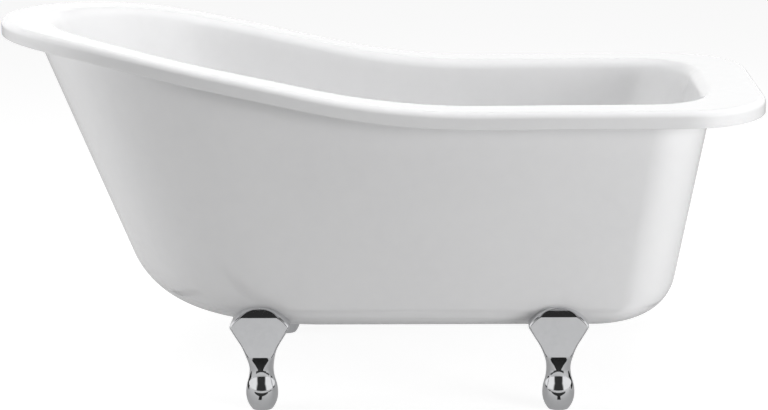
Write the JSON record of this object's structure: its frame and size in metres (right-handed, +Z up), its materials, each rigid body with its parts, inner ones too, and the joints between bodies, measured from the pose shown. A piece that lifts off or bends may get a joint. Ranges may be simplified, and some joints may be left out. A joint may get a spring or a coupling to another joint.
{
  "type": "freestanding slipper bathtub on ball feet",
  "caption": "Freestanding single-ended slipper bath with a raised rounded backrest, rolled rim and wide plain tap deck, on chromed ball feet.",
  "frame": {"origin": "on the floor, under the middle of the rim", "axes": "+X towards the low tap end, +Y to the back long side, +Z up; the picture looks along +Y"},
  "size_m": [1.5, 0.75, 0.7364],
  "materials": {
    "white_gloss": "high-gloss white acrylic",
    "white_gloss_body": "high-gloss white acrylic",
    "board": "raw chipboard",
    "deck_wood": "raw plywood",
    "foot_chrome": "polished chrome plate",
    "waste_chrome": "polished chrome plate",
    "fastener_steel": "zinc-plated steel",
    "seal_rubber": "black rubber",
    "drain_plastic": "white moulded plastic",
    "pipe_plastic": "white plastic pipe",
    "stem_brass": "turned brass"
  },
  "bodies": {
    "bath": {"inner_shell": "white_gloss", "outer_shell": "white_gloss_body", "base_board": "board", "deck_board": "deck_wood", "foot_slipper_front": "foot_chrome", "foot_slipper_back": "foot_chrome", "foot_tap_front": "foot_chrome", "foot_tap_back": "foot_chrome", "foot_bolts": "fastener_steel", "foot_washers": "fastener_steel", "foot_tee_nuts": "fastener_steel", "waste_flange": "waste_chrome", "waste_seal": "seal_rubber", "waste_body": "drain_plastic", "pipe_washer": "seal_rubber", "pipe_nut": "drain_plastic", "overflow_seal": "seal_rubber", "overflow_elbow": "drain_plastic", "overflow_cover": "waste_chrome", "overflow_screw": "fastener_steel", "overflow_pipe": "pipe_plastic"},
    "plug": {"plug_seal": "seal_rubber", "plug_cap": "waste_chrome", "plug_stem": "stem_brass"}
  },
  "joints": [
    {"name": "plug_lift", "type": "slide", "parent": "bath", "child": "plug", "axis": [0, 0, 1], "range_m": [0, 0.009]}
  ]
}
